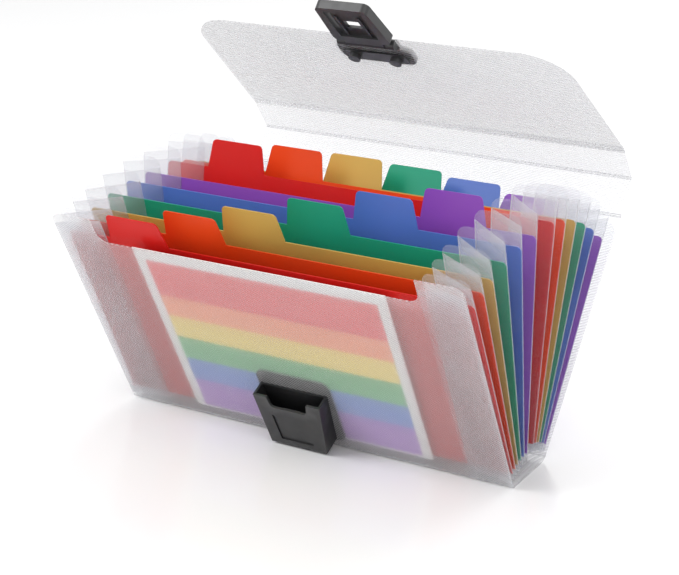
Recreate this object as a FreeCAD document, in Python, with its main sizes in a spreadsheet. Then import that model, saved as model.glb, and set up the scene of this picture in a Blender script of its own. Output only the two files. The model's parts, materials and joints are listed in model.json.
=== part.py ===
"""Thirteen-pocket expanding file with a fold-over flap and a plastic buckle, standing open like a fan.

The file stands on its base strip. +X is the file's right, -Y the front, +Z up. The origin lies on the
floor, at the middle of the front crease. Every sheet is drawn in a local frame of its own: x across,
y through the thickness (towards the back) and z up along the sheet from its bottom line. The fan
section then places each sheet on the base at its own lean.
"""
import FreeCAD
import Part
import math
import os

import Sketcher
from FreeCAD import Placement, Rotation, Vector

doc = FreeCAD.newDocument("expanding_file")

# ---------------------------------------------------------------- driving dimensions (mm, degrees)
DIMENSIONS = {
    "half_width": 90, "margin": 19, "pockets": 13,
    "cover_thick": 0.6, "divider_thick": 0.4, "ear_thick": 0.25, "pleat_thick": 0.2,
    "crease_gap": 0.4, "base_depth": 30, "base_radius": 6, "base_sweep": 45,
    "front_top": 107, "back_top": 106.5, "corner_radius": 4,
    "cutout_half": 71, "cutout_floor": 95.5, "cutout_radius": 5,
    "divider_low": 4, "divider_top": 92, "divider_inset": 0.4, "divider_radius": 2,
    "tab_top": 104, "tab_half_top": 12, "tab_half_base": 14, "tab_step": 22, "tab_radius": 2,
    "ear_low": 0.5, "ear_top": 104.5, "ear_radius": 4,
    "flange_low": 2, "flange_top": 102.5,
    "pleat_low": 2, "pleat_top": 102, "pleat_inset": 0.2, "pleat_play": 0.05,
    "card_half": 56, "card_low": 4, "card_top": 94.5, "card_thick": 0.3, "card_gap": 1.1,
    "strip_half": 17, "root_length": 3, "flap_length": 73, "flap_half_end": 84.5,
    "flap_corner": 20, "latch_notch_half": 14.3, "latch_notch_low": 65.6,
    "socket_low": 4.8, "socket_top": 30.5, "socket_half_low": 13, "socket_half_top": 15.4,
    "socket_depth_low": 9, "socket_depth_top": 7.3, "socket_wall": 1,
    "notch_half": 9.4, "notch_slope": 1.2, "notch_depth": 5.3, "notch_radius": 2,
    "panel_half_low": 7.5, "panel_half_top": 8.9, "panel_low": 7.6, "panel_top": 20.7,
    "panel_face_low": 8.26, "panel_face_top": 7.4,
    "catch_half": 4, "catch_low": 21.2, "catch_top": 23.5, "catch_front": 7.35, "catch_reach": 2.1,
    "back_plate_half": 17, "back_plate_low": 3, "back_plate_top": 37, "back_plate_thick": 0.7,
    "stud_radius": 1.4, "stud_play": 0.1, "stud_spread": 9, "stud_low": 9, "stud_high": 24,
    "hinge_up": 68.5, "knuckle_radius": 2.2, "pin_radius": 0.8, "pin_play": 0.05,
    "knuckle_half": 8.7, "lug_inner": 9, "lug_outer": 13,
    "mount_half": 17, "mount_low": 52.5, "mount_top": 64.5, "mount_thick": 2, "mount_corner": 2,
    "peg_spread": 9.5, "peg_up": 58.2, "peg_head": 2.6, "peg_head_thick": 2, "washer_thick": 0.8,
    "washer_low": 55, "washer_top": 61.5, "washer_half": 14.5,
    "frame_low": 71.2, "frame_top": 96.5, "frame_half_low": 13, "frame_half_top": 11.4,
    "frame_half_thick": 1.9, "frame_radius": 2.5, "window_half": 8.6, "window_low": 75,
    "window_top": 93.6, "window_radius": 1.5,
    "tongue_half": 7.2, "tongue_top": 91.5, "tongue_half_thick": 0.6, "tongue_window_half": 3.4,
    "tongue_window_low": 80.5, "tongue_window_top": 85.5, "rib_half": 0.5, "rib_height": 0.6,
    "rib_spread": 5.2,
    "lean_front": -27, "lean_back": 40.5, "lean_strip_low": 34.9, "lean_strip_high": -35.6,
    "lean_flap": -50.5,
}
# Lean of the twelve dividers from the vertical, front to back; positive leans to the back.
DIVIDER_LEANS = [-25.4, -22.2, -18.7, -13, -6.3, 0.5, 7.8, 13, 18.5, 24, 29.3, 34.8]

sheet = doc.addObject("Spreadsheet::Sheet", "Dims")
sheet.Label = "Dims"
for row, (alias, value) in enumerate(DIMENSIONS.items(), start=1):
    sheet.set(f"A{row}", alias)
    sheet.set(f"B{row}", str(value))
    sheet.setAlias(f"B{row}", alias)
for number, lean in enumerate(DIVIDER_LEANS, start=1):
    row = len(DIMENSIONS) + number
    sheet.set(f"A{row}", f"lean_{number:02d}")
    sheet.set(f"B{row}", str(lean))
    sheet.setAlias(f"B{row}", f"lean_{number:02d}")
doc.recompute()


def size(alias):
    """The value of one cell of the sheet."""
    return float(sheet.get(alias))


def terms(expression):
    """Split a sum such as "half_width-2*margin" into (factor, name or number) pairs."""
    pairs = []
    for term in expression.replace(" ", "").replace("-", "+-").split("+"):
        if not term:
            continue
        sign = -1 if term.startswith("-") else 1
        factor, star, name = term.lstrip("-").partition("*")
        if star:
            pairs.append((sign * float(factor), name))
        else:
            pairs.append((sign, factor))
    return pairs


def amount(expression):
    """The number that a sum of aliases and plain numbers stands for."""
    total = 0.0
    for factor, name in terms(expression):
        total += factor * (size(name) if name in DIMENSIONS else float(name))
    return total


def formula(expression):
    """The same sum as an expression that follows the sheet."""
    pieces = []
    for factor, name in terms(expression):
        pieces.append(f"({factor}) * {'Dims.' + name if name in DIMENSIONS else name}")
    return " + ".join(pieces)


# ------------------------------------------------------------------------------- building helpers
PARTS = {}


def origin_plane(body, role):
    """One of a body's own origin planes."""
    for feature in body.Origin.OriginFeatures:
        if feature.Role == role:
            return feature
    raise ValueError(role)


def new_body(label):
    body = doc.addObject("PartDesign::Body", label)
    body.Label = label
    return body


def sketch_on(body, role, offset):
    """A sketch on an origin plane of the body, moved along the plane's normal by a bound offset."""
    sketch = body.newObject("Sketcher::SketchObject", body.Name + "_sketch")
    sketch.AttachmentSupport = [(origin_plane(body, role), "")]
    sketch.MapMode = "FlatFace"
    sketch.setExpression("AttachmentOffset.Base.z", formula(offset))
    return sketch


def pin_point(sketch, geometry, point, place):
    """Fix a sketch point at a bound (across, up) place."""
    for kind, expression in zip(("DistanceX", "DistanceY"), place):
        constraint = Sketcher.Constraint(kind, -1, 1, geometry, point, amount(expression))
        index = sketch.addConstraint(constraint)
        sketch.setExpression(f"Constraints[{index}]", formula(expression))


def outline(sketch, places):
    """A closed outline of straight lines through bound places."""
    points = [Vector(amount(across), amount(up), 0) for across, up in places]
    count = len(points)
    first = sketch.GeometryCount
    for index in range(count):
        sketch.addGeometry(Part.LineSegment(points[index], points[(index + 1) % count]), False)
    for index in range(count):
        following = first + (index + 1) % count
        sketch.addConstraint(Sketcher.Constraint("Coincident", first + index, 2, following, 1))
    for index, place in enumerate(places):
        pin_point(sketch, first + index, 1, place)


def circle(sketch, place, radius):
    """A bound circle."""
    centre = Vector(amount(place[0]), amount(place[1]), 0)
    index = sketch.addGeometry(Part.Circle(centre, Vector(0, 0, 1), amount(radius)), False)
    rule = sketch.addConstraint(Sketcher.Constraint("Radius", index, amount(radius)))
    sketch.setExpression(f"Constraints[{rule}]", formula(radius))
    pin_point(sketch, index, 3, place)


def box_outline(left, low, right, top):
    return [(left, low), (right, low), (right, top), (left, top)]


def mirrored(expression):
    """The same sum with the opposite sign."""
    flipped = []
    for factor, name in terms(expression):
        flipped.append(f"{-factor}*{name}")
    return "+".join(flipped)


def rounded(body, base, corners, radius):
    """Fillet the edges that run through the sheet's thickness at the given (across, up) corners."""
    names = []
    for index, edge in enumerate(base.Shape.Edges, start=1):
        ends = [vertex.Point for vertex in edge.Vertexes]
        if len(ends) != 2 or abs(ends[0].y - ends[1].y) < 0.01:
            continue
        for across, up in corners:
            spot = Vector(amount(across), ends[0].y, amount(up))
            if (ends[0] - spot).Length < 0.01 and abs(ends[0].x - ends[1].x) < 0.01:
                names.append(f"Edge{index}")
    if len(names) != len(corners):
        raise ValueError(f"{body.Label}: {len(names)} of {len(corners)} corners found")
    fillet = body.newObject("PartDesign::Fillet", body.Name + "_fillet")
    fillet.Base = (base, names)
    fillet.setExpression("Radius", formula(radius))
    doc.recompute()
    return fillet


def plate(label, places, back_face, thickness, holes=()):
    """A flat plate in the sheet plane, its back face at y = back_face, with optional round holes."""
    body = new_body(label)
    sketch = sketch_on(body, "XZ_Plane", mirrored(back_face))
    outline(sketch, places)
    for place, radius in holes:
        circle(sketch, place, radius)
    pad = body.newObject("PartDesign::Pad", label + "_pad")
    pad.Profile = sketch
    pad.setExpression("Length", formula(thickness))
    doc.recompute()
    return body


def cut_through(body, places, back_face, depth):
    """Cut a plate-shaped pocket with its back face at y = back_face, coming forwards by depth."""
    before = body.Shape.Volume
    sketch = sketch_on(body, "XZ_Plane", mirrored(back_face))
    outline(sketch, places)
    pocket = body.newObject("PartDesign::Pocket", body.Name + "_pocket")
    pocket.Profile = sketch
    pocket.Reversed = True
    pocket.setExpression("Length", formula(depth))
    doc.recompute()
    if body.Shape.Volume > before - 0.5:
        raise ValueError(f"{body.Label}: a pocket cut nothing")
    return pocket


def frustum(body, sections, removes):
    """Join rectangles drawn at two heights; each section is (up, half across, front y, back y)."""
    sketches = []
    for up, half, front, back in sections:
        sketch = sketch_on(body, "XY_Plane", up)
        outline(sketch, box_outline(mirrored(half), front, half, back))
        sketches.append(sketch)
    kind = "PartDesign::SubtractiveLoft" if removes else "PartDesign::AdditiveLoft"
    loft = body.newObject(kind, body.Name + "_loft")
    loft.Profile = sketches[0]
    loft.Sections = sketches[1:]
    loft.Ruled = True
    doc.recompute()
    return loft


def round_bar(label, axis, place, radius, length):
    """A cylinder along local X or Y, centred on x = 0 for X, or starting at the place's y for Y."""
    bar = doc.addObject("Part::Cylinder", label)
    bar.setExpression("Radius", formula(radius))
    bar.setExpression("Height", formula(length))
    turn = Rotation(Vector(0, 1, 0), 90) if axis == "X" else Rotation(Vector(1, 0, 0), -90)
    bar.Placement = Placement(Vector(*[amount(each) for each in place]), turn)
    return bar


def block(label, corner, extents):
    """A bound rectangular block from a low corner."""
    box = doc.addObject("Part::Box", label)
    for name, expression in zip(("Length", "Width", "Height"), extents):
        box.setExpression(name, formula(expression))
    box.Placement.Base = Vector(*[amount(each) for each in corner])
    return box


def fused(label, pieces):
    whole = doc.addObject("Part::MultiFuse", label)
    whole.Shapes = pieces
    doc.recompute()
    return whole


def carved(label, base, tool):
    whole = doc.addObject("Part::Cut", label)
    whole.Base = base
    whole.Tool = tool
    doc.recompute()
    return whole


def group(label, pieces):
    """Several separate solids that make one part."""
    whole = doc.addObject("Part::Compound", label)
    whole.Links = pieces
    doc.recompute()
    return whole


def both_sides(label, piece):
    """The piece and its mirror image across the file's middle plane."""
    twin = doc.addObject("Part::Mirroring", piece.Name + "_left")
    twin.Source = piece
    twin.Normal = Vector(1, 0, 0)
    doc.recompute()
    return group(label, [piece, twin])


# ------------------------------------------------------------------------------------ fan geometry
BACK = int(size("pockets"))
PITCH = size("base_depth") / BACK


def along(lean):
    """Direction up a sheet that leans by the given angle."""
    return Vector(0, math.sin(math.radians(lean)), math.cos(math.radians(lean)))


def across(lean):
    """Direction from a leaning sheet towards the next one behind it."""
    return Vector(0, math.cos(math.radians(lean)), -math.sin(math.radians(lean)))


front_axis = Vector(0, 0, size("cover_thick") / 2)
middle_radius = size("base_radius") - size("cover_thick") / 2
sweep = math.radians(size("base_sweep"))
base_flat = size("base_depth") - middle_radius * math.sin(sweep)
back_axis = Vector(0, size("base_depth"), size("base_radius") - middle_radius * math.cos(sweep))
fan_rise = back_axis.z - front_axis.z

LEANS = [size("lean_front")] + [size(f"lean_{number:02d}") for number in range(1, BACK)]
LEANS.append(size("lean_back"))
ROOTS = {0: front_axis + along(LEANS[0]) * fan_rise, BACK: back_axis}
for sheet_number in range(1, 7):
    behind = ROOTS[sheet_number - 1] + across(LEANS[sheet_number - 1]) * (PITCH / 2)
    ROOTS[sheet_number] = behind + across(LEANS[sheet_number]) * (PITCH / 2)
for sheet_number in range(BACK - 1, 6, -1):
    ahead = ROOTS[sheet_number + 1] - across(LEANS[sheet_number + 1]) * (PITCH / 2)
    ROOTS[sheet_number] = ahead - across(LEANS[sheet_number]) * (PITCH / 2)

strip_axis = back_axis + along(size("lean_back")) * size("back_top")
bend_axis = strip_axis + along(size("lean_strip_low")) * size("strip_half")
root_axis = bend_axis + along(size("lean_strip_high")) * size("strip_half")
flap_axis = root_axis + along(size("lean_flap")) * size("root_length")


def stand(label, piece, foot, lean):
    """Place a finished sub-part on its bottom line, at its lean, and list it."""
    piece.Placement = Placement(foot, Rotation(Vector(1, 0, 0), -lean)) * piece.Placement
    piece.Label = label
    PARTS[label] = piece


# ---------------------------------------------------------------------------------------- the base
def build_base():
    """Flat strip under the pockets, turned up at the back where the back cover begins."""
    flat = block("base_flat", ("-half_width", "crease_gap", "0"),
                 ("2*half_width", "base_depth-crease_gap", "cover_thick"))
    flat.setExpression("Width", "Dims.base_depth - Dims.crease_gap - (Dims.base_radius"
                       " - Dims.cover_thick / 2) * sin(Dims.base_sweep * 1 deg)")
    gap_angle = math.degrees(size("crease_gap") / middle_radius)
    centre = Vector(-size("half_width"), base_flat, size("base_radius"))
    start = ("-half_width", "0", "0")
    outer = round_bar("base_turn", "X", start, "base_radius", "2*half_width")
    outer.Angle = size("base_sweep") - gap_angle
    outer.Placement.Base = centre
    inner = round_bar("base_hollow", "X", start, "base_radius-cover_thick", "2*half_width")
    inner.Placement.Base = centre
    turned = carved("base_turned", outer, inner)
    whole = fused("cover_base", [flat, turned])
    whole.Label = "cover_base"
    PARTS["cover_base"] = whole


# -------------------------------------------------------------------------------------- the covers
def mirror_outline(right_side):
    """A closed outline from its right-hand half, listed from the bottom up."""
    left_side = [(mirrored(x), up) for x, up in reversed(right_side)]
    return right_side + left_side


def build_front_cover():
    """Front panel with a wide cut-out between two upright ears, and holes for the socket's studs."""
    right = [("half_width", "crease_gap"), ("half_width", "front_top"),
             ("cutout_half", "front_top"), ("cutout_half", "cutout_floor")]
    holes = []
    for sign in ("", "-"):
        for up in ("stud_low", "stud_high"):
            holes.append(((sign + "stud_spread", up), "stud_radius+stud_play"))
    body = plate("front_cover", mirror_outline(right), "0.5*cover_thick", "cover_thick", holes)
    outer = [("half_width", "front_top"), ("-half_width", "front_top")]
    rounded(body, body.Tip, outer, "corner_radius")
    inner = [("cutout_half", "cutout_floor"), ("-cutout_half", "cutout_floor")]
    rounded(body, body.Tip, inner, "cutout_radius")
    stand("front_cover", body, front_axis, LEANS[0])


def build_back_cover():
    places = box_outline("-half_width", "crease_gap", "half_width", "back_top-crease_gap")
    body = plate("back_cover", places, "0.5*cover_thick", "cover_thick")
    stand("back_cover", body, back_axis, LEANS[BACK])


def build_flanges():
    """Clear gusset margins welded to the inner faces of the two covers."""
    for label, number, back_face in (
        ("front_gusset_flange", 0, "0.5*cover_thick+ear_thick"),
        ("back_gusset_flange", BACK, "-0.5*cover_thick"),
    ):
        places = box_outline("half_width-margin", "flange_low", "half_width-divider_inset", "flange_top")
        body = plate(label + "_right", places, back_face, "ear_thick")
        rounded(body, body.Tip, [places[2]], "ear_radius")
        pair = both_sides(label, body)
        foot = front_axis if number == 0 else back_axis
        stand(label, pair, foot, LEANS[number])


def build_insert_card():
    places = box_outline("-card_half", "card_low", "card_half", "card_top")
    body = plate("insert_card", places, "card_gap+card_thick", "card_thick")
    stand("insert_card", body, front_axis, LEANS[0])


def build_top_strip():
    """The two halves of the strip that spans the pockets' tops, and the narrow root of the flap."""
    for label, length, axis, lean in (
        ("top_strip_low", "strip_half", strip_axis, "lean_strip_low"),
        ("top_strip_high", "strip_half", bend_axis, "lean_strip_high"),
        ("flap_root", "root_length", root_axis, "lean_flap"),
    ):
        places = box_outline("-half_width", "crease_gap", "half_width", length + "-crease_gap")
        body = plate(label, places, "0.5*cover_thick", "cover_thick")
        stand(label, body, axis, size(lean))


def build_flap():
    """Flap with sloping sides and broad round corners, notched in the middle for the latch hinge."""
    right = [("half_width", "crease_gap"), ("flap_half_end", "flap_length"),
             ("latch_notch_half", "flap_length"), ("latch_notch_half", "latch_notch_low")]
    holes = [(("peg_spread", "peg_up"), "stud_radius+stud_play"),
             (("-peg_spread", "peg_up"), "stud_radius+stud_play")]
    body = plate("flap", mirror_outline(right), "0.5*cover_thick", "cover_thick", holes)
    ends = [("flap_half_end", "flap_length"), ("-flap_half_end", "flap_length")]
    rounded(body, body.Tip, ends, "flap_corner")
    stand("flap", body, flap_axis, size("lean_flap"))


# ---------------------------------------------------------------------- dividers, ears and pleats
def build_divider(number):
    """Coloured sheet with one index tab; six tab places, used twice from front to back."""
    place = (number - 1) % 6 - 2.5
    centre = f"{place}*tab_step"
    edge = "half_width-divider_inset"
    places = [
        ("-half_width+divider_inset", "divider_low"), (edge, "divider_low"), (edge, "divider_top"),
        (centre + "+tab_half_base", "divider_top"), (centre + "+tab_half_top", "tab_top"),
        (centre + "-tab_half_top", "tab_top"), (centre + "-tab_half_base", "divider_top"),
        ("-half_width+divider_inset", "divider_top"),
    ]
    label = f"divider_{number:02d}"
    body = plate(label, places, "0.5*divider_thick", "divider_thick")
    rounded(body, body.Tip, [places[4], places[5]], "tab_radius")
    rounded(body, body.Tip, [places[2], places[7]], "divider_radius")
    stand(label, body, ROOTS[number], LEANS[number])


def build_ears(number):
    """Clear gusset margins welded to the front of a divider, right and left."""
    label = f"ears_{number:02d}"
    places = box_outline("half_width-margin", "ear_low", "half_width", "ear_top")
    body = plate(label + "_right", places, "-0.5*divider_thick", "ear_thick")
    rounded(body, body.Tip, [places[2], places[3]], "ear_radius")
    stand(label, both_sides(label, body), ROOTS[number], LEANS[number])


def build_pleat(number):
    """Free gusset panels of one pocket, from the outer crease in front to the inner crease behind.

    The panel's bottom and top edges are not parallel, so it is folded along one diagonal into two
    flat triangles.
    """
    outer_x = size("half_width") - size("pleat_inset")
    inner_x = size("half_width") - size("margin") + size("pleat_inset")
    half = size("pleat_thick") / 2
    clear_front = size("cover_thick") if number == 1 else size("divider_thick") / 2
    clear_front += size("pleat_play") + half
    behind_thick = size("cover_thick") if number == BACK else size("divider_thick")
    clear_back = behind_thick / 2 + size("ear_thick") + size("pleat_play") + half
    front_lean = LEANS[number - 1]
    back_lean = LEANS[number]
    side = across((front_lean + back_lean) / 2) * half
    edges = []
    for up in (size("pleat_low"), size("pleat_top")):
        start = ROOTS[number - 1] + along(front_lean) * up + across(front_lean) * clear_front
        end = ROOTS[number] + along(back_lean) * up - across(back_lean) * clear_back
        start.x = outer_x
        end.x = inner_x
        edges.append((start, end))
    (low_start, low_end), (top_start, top_end) = edges
    outlines = []
    for triangle in ((low_start, low_end, top_end), (low_start, top_end, top_start)):
        outlines.append([corner - side for corner in triangle])
        outlines.append([corner + side for corner in triangle])
    rim = [low_start, low_end, top_end, top_start]
    for index, corner in enumerate(rim):
        following = rim[(index + 1) % len(rim)]
        outlines.append([corner - side, following - side, following + side, corner + side])
    faces = [Part.Face(Part.makePolygon(points + points[:1])) for points in outlines]
    right = Part.makeSolid(Part.makeShell(faces))
    if right.Volume < 0:
        right.reverse()
    left = right.mirror(Vector(0, 0, 0), Vector(1, 0, 0))
    label = f"pleat_{number:02d}"
    piece = doc.addObject("Part::Feature", label)
    piece.Shape = Part.makeCompound([right, left])
    piece.Label = label
    PARTS[label] = piece


# -------------------------------------------------------------------------------------- the socket
def build_socket():
    """Open-topped buckle socket, tapered downwards, with a wide notch and a sunk front panel."""
    body = new_body("socket")
    face = "-0.5*cover_thick"
    frustum(body, [("socket_low", "socket_half_low", "-socket_depth_low", face),
                   ("socket_top", "socket_half_top", "-socket_depth_top", face)], False)
    back = "-0.5*cover_thick-socket_wall+0.2"
    frustum(body, [("socket_low+socket_wall", "socket_half_low-socket_wall",
                    "-socket_depth_low+socket_wall", back),
                   ("socket_top", "socket_half_top-socket_wall",
                    "-socket_depth_top+socket_wall", back)], True)
    reach = "socket_depth_low-socket_depth_top+2*socket_wall"
    floor = "socket_top-notch_depth"
    foot = "notch_half-notch_slope"
    notch = [("-notch_half", "socket_top+socket_wall"), (mirrored(foot), floor), (foot, floor),
             ("notch_half", "socket_top+socket_wall")]
    cut = cut_through(body, notch, "-socket_depth_top+2*socket_wall", reach)
    rounded(body, cut, [notch[1], notch[2]], "notch_radius")
    sections = [
        ("panel_low", "panel_half_low", "-socket_depth_low-2*socket_wall", "-panel_face_low"),
        ("panel_top", "panel_half_top", "-socket_depth_top-2*socket_wall", "-panel_face_top"),
    ]
    frustum(body, sections, True)
    stand("socket", body, front_axis, LEANS[0])


def build_socket_catch():
    """Wedge inside the socket's front wall that drops into the latch frame's window."""
    catch = block("socket_catch", ("-catch_half", "-catch_front", "catch_low"),
                  ("2*catch_half", "catch_reach", "catch_top-catch_low"))
    stand("socket_catch", catch, front_axis, LEANS[0])


def build_socket_fixings():
    """Clamping plate inside the front cover, and the four studs that hold it to the socket."""
    places = box_outline("-back_plate_half", "back_plate_low", "back_plate_half", "back_plate_top")
    holes = []
    studs = []
    for sign in ("", "-"):
        for up in ("stud_low", "stud_high"):
            holes.append(((sign + "stud_spread", up), "stud_radius+0.5*stud_play"))
            name = f"socket_stud_{len(studs) + 1}"
            place = (sign + "stud_spread", "-0.5*cover_thick", up)
            studs.append(round_bar(name, "Y", place, "stud_radius", "cover_thick+back_plate_thick"))
    body = plate("socket_plate", places, "0.5*cover_thick+back_plate_thick", "back_plate_thick", holes)
    rounded(body, body.Tip, places, "corner_radius")
    stand("socket_plate", body, front_axis, LEANS[0])
    stand("socket_studs", group("socket_studs", studs), front_axis, LEANS[0])


# --------------------------------------------------------------------------------------- the latch
def build_latch_mount():
    """Plate riveted to the outside of the flap, with two lugs that carry the hinge pin."""
    places = [("-mount_half", "mount_low"), ("mount_half", "mount_low"),
              ("mount_half", "mount_top-mount_corner"), ("lug_outer", "mount_top"),
              ("-lug_outer", "mount_top"), ("-mount_half", "mount_top-mount_corner")]
    holes = [(("peg_spread", "peg_up"), "stud_radius+0.5*stud_play"),
             (("-peg_spread", "peg_up"), "stud_radius+0.5*stud_play")]
    back = "0.5*cover_thick+mount_thick"
    body = plate("latch_mount_plate", places, back, "mount_thick", holes)
    rounded(body, body.Tip, [places[0], places[1]], "corner_radius")
    pieces = [body]
    for side, start in (("right", "lug_inner"), ("left", "-lug_outer")):
        width = "lug_outer-lug_inner"
        pieces.append(round_bar("lug_" + side, "X", (start, "0", "hinge_up"), "knuckle_radius", width))
        pieces.append(block("lug_arm_" + side, (start, "0.5*cover_thick", "mount_top-0.5"),
                            (width, "knuckle_radius-0.5*cover_thick", "hinge_up-mount_top+0.5")))
    whole = fused("latch_mount_body", pieces)
    hole = round_bar("lug_hole", "X", ("-lug_outer-1", "0", "hinge_up"),
                     "pin_radius+0.01", "2*lug_outer+2")
    stand("latch_mount", carved("latch_mount", whole, hole), flap_axis, size("lean_flap"))


def build_hinge_pin():
    pin = round_bar("hinge_pin", "X", ("-lug_outer", "0", "hinge_up"), "pin_radius", "2*lug_outer")
    stand("hinge_pin", pin, flap_axis, size("lean_flap"))


def build_latch_pegs():
    """Two round-headed pegs through the flap, and the strip that they clamp against its inside."""
    pegs = []
    holes = []
    inside = "-0.5*cover_thick-washer_thick"
    for side, centre in (("right", "peg_spread"), ("left", "-peg_spread")):
        head = round_bar("peg_head_" + side, "Y", (centre, inside + "-peg_head_thick", "peg_up"),
                         "peg_head", "peg_head_thick")
        shank = round_bar("peg_shank_" + side, "Y", (centre, inside, "peg_up"), "stud_radius",
                          "cover_thick+washer_thick+mount_thick-0.4")
        pegs.append(fused("peg_" + side, [head, shank]))
        holes.append(((centre, "peg_up"), "stud_radius+0.5*stud_play"))
    stand("latch_pegs", group("latch_pegs", pegs), flap_axis, size("lean_flap"))
    places = box_outline("-washer_half", "washer_low", "washer_half", "washer_top")
    washer = plate("latch_washer", places, "-0.5*cover_thick", "washer_thick", holes)
    rounded(washer, washer.Tip, places, "tab_radius")
    stand("latch_washer", washer, flap_axis, size("lean_flap"))


def build_latch_frame():
    """Swinging frame with a window, turning on the pin by a knuckle between the lugs."""
    right = [("frame_half_low", "frame_low"), ("frame_half_top", "frame_top")]
    body = plate("latch_frame_ring", mirror_outline(right), "frame_half_thick", "2*frame_half_thick")
    rounded(body, body.Tip, mirror_outline(right), "frame_radius")
    window = box_outline("-window_half", "window_low", "window_half", "window_top")
    cut_through(body, window, "frame_half_thick+1", "2*frame_half_thick+2")
    knuckle = round_bar("knuckle", "X", ("-knuckle_half", "0", "hinge_up"),
                        "knuckle_radius", "2*knuckle_half")
    web = block("knuckle_web", ("-knuckle_half", "-frame_half_thick", "hinge_up"),
                ("2*knuckle_half", "2*frame_half_thick", "frame_low-hinge_up+1"))
    whole = fused("latch_frame_body", [body, knuckle, web])
    hole = round_bar("knuckle_hole", "X", ("-knuckle_half-1", "0", "hinge_up"),
                     "pin_radius+pin_play", "2*knuckle_half+2")
    stand("latch_frame", carved("latch_frame", whole, hole), flap_axis, size("lean_flap"))


def build_latch_tongue():
    """Thin sprung plate inside the frame's window, with a small window of its own and two ribs."""
    places = box_outline("-tongue_half", "window_low", "tongue_half", "tongue_top")
    body = plate("latch_tongue_plate", places, "tongue_half_thick", "2*tongue_half_thick")
    rounded(body, body.Tip, [places[2], places[3]], "window_radius")
    window = box_outline("-tongue_window_half", "tongue_window_low",
                         "tongue_window_half", "tongue_window_top")
    cut_through(body, window, "tongue_half_thick+1", "2*tongue_half_thick+2")
    pieces = [body]
    for side, centre in (("right", "rib_spread"), ("left", "-rib_spread")):
        pieces.append(block("tongue_rib_" + side,
                            (centre + "-rib_half", "-tongue_half_thick-rib_height", "window_low"),
                            ("2*rib_half", "rib_height+0.1", "tongue_top-window_low-2")))
    whole = fused("latch_tongue", pieces)
    stand("latch_tongue", whole, flap_axis, size("lean_flap"))


# ------------------------------------------------------------------------------- build, check, save
def check_document():
    """Stop if any object failed or any sub-part is empty or invalid."""
    for item in doc.Objects:
        if "Invalid" in item.State or "Error" in item.State:
            raise RuntimeError(f"{item.Name} is {item.State}")
    for label, piece in PARTS.items():
        if piece.Shape.isNull() or not piece.Shape.isValid() or not piece.Shape.Solids:
            raise RuntimeError(f"{label} has no valid solid")


def save_parts():
    os.makedirs("parts", exist_ok=True)
    for label, piece in PARTS.items():
        piece.Shape.exportStep(f"parts/{label}.step")


build_base()
build_front_cover()
build_back_cover()
build_flanges()
build_insert_card()
build_top_strip()
build_flap()
for divider_number in range(1, 13):
    build_divider(divider_number)
    build_ears(divider_number)
for pocket_number in range(1, 14):
    build_pleat(pocket_number)
build_socket()
build_socket_catch()
build_socket_fixings()
build_latch_mount()
build_hinge_pin()
build_latch_pegs()
build_latch_frame()
build_latch_tongue()
doc.recompute()
check_document()
save_parts()
print(f"{len(PARTS)} parts written")
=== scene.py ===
"""Thirteen-pocket expanding file, standing open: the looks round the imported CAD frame."""
import json
import math

import bpy
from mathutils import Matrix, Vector


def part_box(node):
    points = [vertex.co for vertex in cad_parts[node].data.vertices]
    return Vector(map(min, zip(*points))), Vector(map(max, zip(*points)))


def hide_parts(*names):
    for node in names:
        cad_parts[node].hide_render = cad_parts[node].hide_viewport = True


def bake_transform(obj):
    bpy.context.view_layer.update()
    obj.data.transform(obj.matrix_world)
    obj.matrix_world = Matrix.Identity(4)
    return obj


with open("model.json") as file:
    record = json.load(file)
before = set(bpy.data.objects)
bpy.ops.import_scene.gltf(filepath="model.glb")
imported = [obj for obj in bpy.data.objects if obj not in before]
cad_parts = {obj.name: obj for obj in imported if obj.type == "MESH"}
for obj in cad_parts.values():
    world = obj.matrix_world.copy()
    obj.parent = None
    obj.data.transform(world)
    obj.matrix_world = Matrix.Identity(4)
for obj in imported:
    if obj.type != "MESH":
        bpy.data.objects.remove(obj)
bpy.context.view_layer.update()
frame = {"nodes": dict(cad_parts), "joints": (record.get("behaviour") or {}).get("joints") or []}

NODES = frame["nodes"]
JOINTS = {joint["name"]: joint for joint in frame["joints"]}
MM = 0.001
COLOURS = ("red", "orange", "yellow", "green", "blue", "purple")


# ------------------------------------------------------------------------------------ fan geometry
def travel(name):
    """How far a hinge turns from the open rest pose to the closed file, in degrees."""
    low, high = JOINTS[name]["range_deg"]
    return high if high > 0 else low


def axis_point(name):
    """A point on a hinge's axis, in the middle plane of the file."""
    return Vector(JOINTS[name]["pos_m"])


def up_sheet(lean):
    """Direction up a sheet that leans backwards by an angle in degrees."""
    return Vector((0, math.sin(math.radians(lean)), math.cos(math.radians(lean))))


def through_sheet(lean):
    """Direction from a leaning sheet towards the one behind it."""
    return Vector((0, math.cos(math.radians(lean)), -math.sin(math.radians(lean))))


BACK = 13
PITCH = axis_point("back_cover_fold").y / BACK
LEAN = {0: travel("front_cover_fold"), BACK: travel("back_cover_fold")}
ROOT = {BACK: axis_point("back_cover_fold")}
for k in range(1, 7):
    LEAN[k] = LEAN[k - 1] + travel(f"pocket_{k:02d}_fold")
    ROOT[k] = axis_point(f"pocket_{k:02d}_fold") + through_sheet(LEAN[k]) * (PITCH / 2)
for k in range(12, 6, -1):
    LEAN[k] = LEAN[k + 1] + travel(f"pocket_{k + 1:02d}_fold")
    ROOT[k] = axis_point(f"pocket_{k + 1:02d}_fold") - through_sheet(LEAN[k]) * (PITCH / 2)
ROOT[0] = axis_point("pocket_01_fold") - through_sheet(LEAN[0]) * (PITCH / 2)


def lean_between(first, second):
    """Lean of the sheet that runs from one hinge axis to the next, in degrees."""
    run = axis_point(second) - axis_point(first)
    return math.degrees(math.atan2(run.y, run.z))


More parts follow.
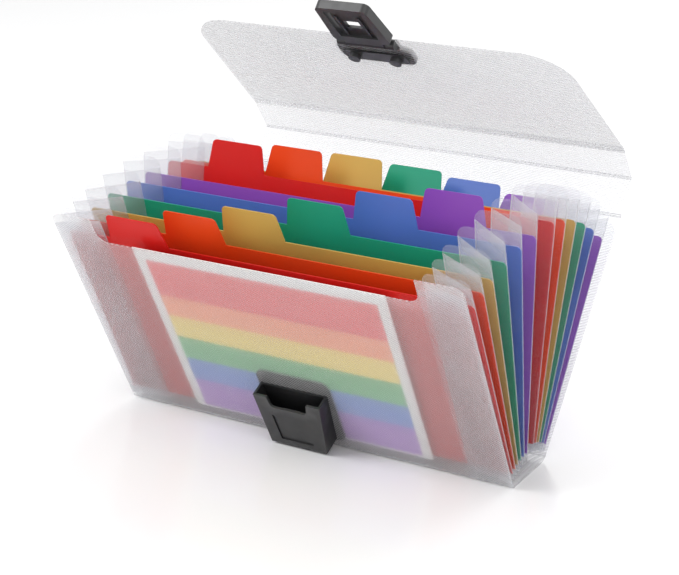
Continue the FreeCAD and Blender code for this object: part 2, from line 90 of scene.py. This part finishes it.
LOW_LEAN = lean_between("strip_fold", "strip_bend")
HIGH_LEAN = lean_between("strip_bend", "root_fold")
FLAP_LEAN = lean_between("root_fold", "flap_fold")
HALF_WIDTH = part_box("back_cover")[1].x
EAR_WIDTH = 19 * MM
EAR_INNER = HALF_WIDTH - EAR_WIDTH
PANEL_LOW = 1 * MM
PANEL_HEIGHT = 99.3 * MM


# ---------------------------------------------------------------------------------- material tools
class Graph:
    """A material and short calls that add nodes to it."""

    def __init__(self, name):
        self.material = bpy.data.materials.new(name)
        self.material.use_nodes = True
        self.tree = self.material.node_tree
        self.tree.nodes.clear()

    def add(self, kind, inputs=None, **settings):
        """Add a node, set its properties, and fill or link its inputs; returns the node."""
        node = self.tree.nodes.new(kind)
        for key, value in settings.items():
            setattr(node, key, value)
        for key, value in (inputs or {}).items():
            if isinstance(value, bpy.types.NodeSocket):
                self.tree.links.new(value, node.inputs[key])
            else:
                node.inputs[key].default_value = value
        return node

    def math(self, operation, first, second=0.0, clamp=False):
        node = self.add("ShaderNodeMath", {0: first, 1: second}, operation=operation, use_clamp=clamp)
        return node.outputs[0]

    def mix_colour(self, factor, first, second, blend="MIX"):
        node = self.add("ShaderNodeMix", data_type="RGBA", blend_type=blend)
        for index, value in ((0, factor), (6, first), (7, second)):
            if isinstance(value, bpy.types.NodeSocket):
                self.tree.links.new(value, node.inputs[index])
            else:
                node.inputs[index].default_value = value
        return node.outputs[2]

    def mix_shader(self, factor, first, second):
        return self.add("ShaderNodeMixShader", {0: factor, 1: first, 2: second}).outputs[0]

    def place(self):
        """Position on the piece, in metres of the CAD frame at rest."""
        return self.add("ShaderNodeTexCoord").outputs["Object"]

    def along(self, direction):
        """Distance of a point along a fixed direction."""
        node = self.add("ShaderNodeVectorMath", {0: self.place(), 1: tuple(direction)},
                        operation="DOT_PRODUCT")
        return node.outputs["Value"]

    def ramp(self, value, low, high, to_low=0.0, to_high=1.0):
        node = self.add("ShaderNodeMapRange", {"Value": value, "From Min": low, "From Max": high,
                                               "To Min": to_low, "To Max": to_high})
        node.interpolation_type = "SMOOTHSTEP"
        return node.outputs[0]

    def noise(self, scale, detail=3.0, roughness=0.5):
        node = self.add("ShaderNodeTexNoise", {"Vector": self.place(), "Scale": scale,
                                               "Detail": detail, "Roughness": roughness})
        return node.outputs[0]

    def bump(self, height, strength, distance=0.0001):
        node = self.add("ShaderNodeBump", {"Height": height, "Strength": strength,
                                           "Distance": distance})
        return node.outputs[0]

    def finish(self, shader):
        output = self.add("ShaderNodeOutputMaterial", {"Surface": shader})
        self.tree.nodes.active = output
        return self.material


LINE_SLOPE = math.radians(28)
LINE_PITCH = 1.15 * MM


def frosted(name, lean, flip):
    """Milky polypropylene sheet embossed with fine parallel diagonal lines."""
    g = Graph(name)
    side = -1 if flip else 1
    across_lines = Vector((side * math.sin(LINE_SLOPE), 0, 0))
    across_lines += up_sheet(lean) * math.cos(LINE_SLOPE)
    wave = g.math("SINE", g.math("MULTIPLY", g.along(across_lines), 2 * math.pi / LINE_PITCH))
    line = g.ramp(wave, -0.35, 0.55)
    cloud = g.noise(60.0, 4.0)
    normal = g.bump(g.math("ADD", line, g.math("MULTIPLY", g.noise(2600.0), 0.4)), 0.5, 0.00008)
    milk = g.mix_colour(cloud, (0.86, 0.865, 0.875, 1), (0.93, 0.93, 0.935, 1))
    skin = g.add("ShaderNodeBsdfPrincipled", {"Base Color": milk, "Roughness": 0.32,
                                              "Specular IOR Level": 0.45, "Normal": normal})
    glow = g.add("ShaderNodeBsdfTranslucent", {"Color": milk, "Normal": normal})
    body = g.mix_shader(0.45, skin.outputs[0], glow.outputs[0])
    blur = g.add("ShaderNodeBsdfRefraction", {"Color": (0.97, 0.97, 0.975, 1), "Roughness": 0.22,
                                              "IOR": 1.12, "Normal": normal})
    clear = g.add("ShaderNodeBsdfTransparent", {"Color": (0.97, 0.97, 0.975, 1)})
    window = g.mix_shader(0.35, clear.outputs[0], blur.outputs[0])
    shadow = g.add("ShaderNodeLightPath").outputs["Is Shadow Ray"]
    window = g.mix_shader(shadow, window, clear.outputs[0])
    milkiness = g.ramp(line, 0.0, 1.0, 0.14, 0.40)
    return g.finish(g.mix_shader(milkiness, window, body))


def clear_film():
    """Thin clear film: almost nothing face on, a pale sheen at a slant and along its edges."""
    g = Graph("clear_film")
    slant = g.add("ShaderNodeLayerWeight", {"Blend": 0.35}).outputs["Facing"]
    ripple = g.bump(g.noise(90.0, 2.0), 0.25, 0.0006)
    skin = g.add("ShaderNodeBsdfPrincipled", {"Base Color": (0.86, 0.865, 0.88, 1), "Roughness": 0.16,
                                              "Specular IOR Level": 0.6, "Normal": ripple})
    glow = g.add("ShaderNodeBsdfTranslucent", {"Color": (0.9, 0.9, 0.91, 1)})
    body = g.mix_shader(0.4, skin.outputs[0], glow.outputs[0])
    clear = g.add("ShaderNodeBsdfTransparent", {"Color": (0.97, 0.972, 0.978, 1)})
    haze = g.math("ADD", g.ramp(slant, 0.2, 1.0, 0.07, 0.5), g.math("MULTIPLY", g.noise(40.0), 0.05))
    return g.finish(g.mix_shader(haze, clear.outputs[0], body))


DIVIDER_COLOUR = {
    "red": (0.83, 0.012, 0.006), "orange": (0.94, 0.105, 0.006), "yellow": (0.80, 0.58, 0.15),
    "green": (0.01, 0.50, 0.31), "blue": (0.15, 0.29, 0.76), "purple": (0.43, 0.13, 0.66),
}


def divider_film(colour):
    """Coloured translucent sheet with a satin face."""
    g = Graph("divider_" + colour)
    base = DIVIDER_COLOUR[colour]
    cloud = g.noise(35.0, 3.0)
    tint = g.mix_colour(cloud, (*base, 1), (*[0.88 * c + 0.03 for c in base], 1))
    grain = g.bump(g.noise(1800.0, 2.0), 0.15, 0.00005)
    skin = g.add("ShaderNodeBsdfPrincipled", {"Base Color": tint, "Roughness": 0.34,
                                              "Specular IOR Level": 0.4, "Normal": grain})
    glow = g.add("ShaderNodeBsdfTranslucent", {"Color": tint})
    body = g.mix_shader(0.38, skin.outputs[0], glow.outputs[0])
    bright = [0.25 + 0.75 * c for c in base]
    clear = g.add("ShaderNodeBsdfTransparent", {"Color": (*bright, 1)})
    return g.finish(g.mix_shader(0.86, clear.outputs[0], body))


def moulded_black():
    """Black moulded plastic with a fine satin grain and a painted highlight that lightens its sharp
    edges.
    """
    g = Graph("moulded_black")
    # Painted highlight: the colour turns lighter grey on sharp convex edges, where light would catch
    # them.
    painted_edge_highlight = g.ramp(g.add("ShaderNodeNewGeometry").outputs["Pointiness"], 0.5, 0.62)
    patch = g.noise(220.0, 4.0)
    colour = g.mix_colour(g.math("MULTIPLY", painted_edge_highlight, 0.6), (0.014, 0.014, 0.015, 1), (0.06, 0.06, 0.062, 1))
    rough = g.ramp(patch, 0.3, 0.7, 0.30, 0.42)
    grain = g.bump(g.noise(5200.0, 2.0), 0.18, 0.00005)
    skin = g.add("ShaderNodeBsdfPrincipled", {"Base Color": colour, "Roughness": rough,
                                              "Specular IOR Level": 0.5, "Normal": grain})
    return g.finish(skin.outputs[0])


def printed_card():
    """White card printed with six colour bands inside a pale border."""
    g = Graph("printed_card")
    foot = Vector(JOINTS["front_cover_fold"]["pos_m"])
    up = g.math("SUBTRACT", g.along(up_sheet(LEAN[0])), foot.dot(up_sheet(LEAN[0])))
    low, top = 8.5 * MM, 89 * MM
    share = g.math("DIVIDE", g.math("SUBTRACT", up, low), top - low)
    bands = g.add("ShaderNodeValToRGB", {"Fac": share})
    bands.color_ramp.interpolation = "CONSTANT"
    stops = [(0.0, (0.40, 0.17, 0.58)), (0.155, (0.10, 0.23, 0.62)), (0.31, (0.10, 0.45, 0.15)),
             (0.47, (0.88, 0.68, 0.12)), (0.62, (0.92, 0.30, 0.12)), (0.76, (0.80, 0.05, 0.05))]
    elements = bands.color_ramp.elements
    while len(elements) < len(stops):
        elements.new(0.5)
    for element, (position, colour) in zip(elements, stops):
        element.position = position
        element.color = (*colour, 1)
    side = g.math("ABSOLUTE", g.along((1, 0, 0)))
    inside = g.math("LESS_THAN", side, 51.5 * MM)
    inside = g.math("MULTIPLY", inside, g.math("GREATER_THAN", up, 5 * MM))
    inside = g.math("MULTIPLY", inside, g.math("LESS_THAN", up, top))
    ink = g.mix_colour(inside, (0.80, 0.79, 0.76, 1), bands.outputs[0])
    fibre = g.noise(1500.0, 4.0)
    ink = g.mix_colour(g.math("MULTIPLY", fibre, 0.12), ink, (0.95, 0.95, 0.95, 1))
    skin = g.add("ShaderNodeBsdfPrincipled", {"Base Color": ink, "Roughness": 0.6,
                                              "Normal": g.bump(fibre, 0.2, 0.00005)})
    return g.finish(skin.outputs[0])


def floor_paint():
    g = Graph("floor_paint")
    cloud = g.noise(3.0, 2.0)
    white = g.mix_colour(cloud, (0.90, 0.90, 0.905, 1), (0.93, 0.93, 0.935, 1))
    skin = g.add("ShaderNodeBsdfPrincipled", {"Base Color": white, "Roughness": 0.16,
                                              "Specular IOR Level": 0.5})
    return g.finish(skin.outputs[0])


CLEAR = clear_film()
BLACK = moulded_black()
FROSTED = {
    "front_cover": frosted("frosted_front", LEAN[0], False),
    "cover_base": frosted("frosted_base", 0, True),
    "back_cover": frosted("frosted_back", LEAN[BACK], True),
    "top_strip_low": frosted("frosted_strip_low", LOW_LEAN, True),
    "top_strip_high": frosted("frosted_strip_high", HIGH_LEAN, True),
    "flap": frosted("frosted_flap", FLAP_LEAN, True),
}
FROSTED["flap_root"] = FROSTED["flap"]
DIVIDER = {colour: divider_film(colour) for colour in COLOURS}


def paint(thing, material):
    thing.data.materials.clear()
    thing.data.materials.append(material)


for label, material in FROSTED.items():
    paint(NODES[label], material)
for k in range(1, 13):
    paint(NODES[f"divider_{k:02d}"], DIVIDER[COLOURS[(k - 1) % 6]])
    paint(NODES[f"ears_{k:02d}"], CLEAR)
for label in ("front_gusset_flange", "back_gusset_flange"):
    paint(NODES[label], CLEAR)
paint(NODES["insert_card"], printed_card())
MOULDED = ("socket", "socket_catch", "socket_plate", "socket_studs", "latch_mount", "latch_pegs",
           "latch_washer", "hinge_pin", "latch_frame", "latch_tongue")
for label in MOULDED:
    paint(NODES[label], BLACK)
    bevel = NODES[label].modifiers.new("soft_edges", "BEVEL")
    bevel.width = 0.25 * MM
    bevel.segments = 2
    bevel.limit_method = "ANGLE"
    bevel.angle_limit = math.radians(35)
    bevel.harden_normals = False


# -------------------------------------------------------------------------------------- mesh tools
def mesh_piece(name, points, faces, material):
    data = bpy.data.meshes.new(name)
    data.from_pydata([tuple(point) for point in points], [], faces)
    data.update()
    piece = bpy.data.objects.new(name, data)
    bpy.context.collection.objects.link(piece)
    data.materials.append(material)
    return piece


def grid(name, columns, rows, point, material):
    """A sheet of columns by rows cells; point(across, up) gives a place for shares from 0 to 1."""
    points = [point(i / columns, j / rows) for j in range(rows + 1) for i in range(columns + 1)]
    faces = []
    for j in range(rows):
        for i in range(columns):
            first = j * (columns + 1) + i
            faces.append((first, first + 1, first + columns + 2, first + columns + 1))
    piece = mesh_piece(name, points, faces, material)
    for polygon in piece.data.polygons:
        polygon.use_smooth = True
    return piece


def thicken(piece, thickness):
    solid = piece.modifiers.new("thickness", "SOLIDIFY")
    solid.thickness = thickness
    solid.offset = 0


# ------------------------------------------------------------------------------- gusset panels
def sheet_point(number, up, through):
    """A point on a sheet of the fan, up from its root and through its thickness."""
    return ROOT[number] + up_sheet(LEAN[number]) * up + through_sheet(LEAN[number]) * through


def free_panel(number, side):
    """Gusset panel from the outer crease of one sheet to the inner crease of the sheet behind."""
    def point(across, up):
        height = PANEL_LOW + PANEL_HEIGHT * up
        start = sheet_point(number - 1, height, -0.3 * MM)
        end = sheet_point(number, height, -0.34 * MM)
        place = start.lerp(end, across)
        place.x = side * (HALF_WIDTH + (EAR_INNER - HALF_WIDTH) * across)
        place.x += side * 0.35 * MM * math.sin(math.pi * min(across * 6, 1)) * 0.5
        return place

    label = f"gusset_panel_{number:02d}_{'right' if side > 0 else 'left'}"
    piece = grid(label, 12, 12, point, CLEAR)
    thicken(piece, 0.16 * MM)
    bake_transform(piece)
    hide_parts(f"pleat_{number:02d}")


for k in range(1, 14):
    free_panel(k, 1)
    free_panel(k, -1)


# ----------------------------------------------------------------------------------- cover creases
def crease(name, joint, first_lean, second_lean, material):
    """Bent strip of cover sheet that bridges the gap at a crease."""
    centre = axis_point(joint)
    reach = 0.75 * MM
    start = centre - up_sheet(first_lean) * reach
    end = centre + up_sheet(second_lean) * reach

    def point(across, along):
        place = (start * (1 - along) ** 2 + centre * 2 * along * (1 - along) + end * along ** 2)
        place.x = HALF_WIDTH * (2 * across - 1)
        return place

    piece = grid(name, 1, 8, point, material)
    thicken(piece, 0.5 * MM)
    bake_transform(piece)


crease("crease_front", "front_cover_fold", -90, LEAN[0], FROSTED["front_cover"])
crease("crease_back", "back_cover_fold", 45, LEAN[BACK], FROSTED["back_cover"])
crease("crease_strip", "strip_fold", LEAN[BACK], LOW_LEAN,
       FROSTED["back_cover"])
crease("crease_bend", "strip_bend", LOW_LEAN, HIGH_LEAN,
       FROSTED["top_strip_low"])
crease("crease_root", "root_fold", HIGH_LEAN, FLAP_LEAN,
       FROSTED["flap"])
crease("crease_flap", "flap_fold", FLAP_LEAN, FLAP_LEAN, FROSTED["flap"])


# ------------------------------------------------------------------------------ stage and camera
def build_stage():
    bpy.ops.mesh.primitive_plane_add(size=14, location=(0, 0, -0.0004))
    floor = bpy.context.object
    floor.name = "floor"
    paint_floor = floor_paint()
    floor.data.materials.append(paint_floor)


def area_light(name, place, target, width, power):
    data = bpy.data.lights.new(name, "AREA")
    data.shape = "SQUARE"
    data.size = width
    data.energy = power
    light = bpy.data.objects.new(name, data)
    light.location = place
    light.rotation_euler = (Vector(target) - Vector(place)).to_track_quat("-Z", "Y").to_euler()
    bpy.context.collection.objects.link(light)


def build_lights():
    world = bpy.data.worlds.new("studio")
    world.use_nodes = True
    world.node_tree.nodes["Background"].inputs["Color"].default_value = (1, 1, 1, 1)
    world.node_tree.nodes["Background"].inputs["Strength"].default_value = 0.75
    bpy.context.scene.world = world
    middle = (0, 0.03, 0.08)
    area_light("key", (-0.9, -0.9, 1.3), middle, 0.8, 16)
    area_light("fill", (1.2, -0.6, 0.8), middle, 1.2, 6)
    area_light("back", (0.1, 1.2, 1.0), middle, 1.4, 9)


def build_camera():
    """Camera at the front right corner, a little above the file, with a long lens."""
    data = bpy.data.cameras.new("camera")
    data.lens = 90.1
    data.sensor_width = 36
    camera = bpy.data.objects.new("camera", data)
    camera.location = (0.3298, -0.5419, 0.2882)
    heading, dip = math.radians(-30.33), math.radians(19.33)
    ahead = Vector((math.sin(heading) * math.cos(dip), math.cos(heading) * math.cos(dip),
                    -math.sin(dip)))
    camera.rotation_euler = ahead.to_track_quat("-Z", "Y").to_euler()
    bpy.context.collection.objects.link(camera)
    bpy.context.scene.camera = camera


build_stage()
build_lights()
build_camera()
bpy.context.scene.view_settings.view_transform = "Standard"
bpy.context.scene.cycles.transparent_max_bounces = 64
bpy.context.scene.cycles.max_bounces = 24
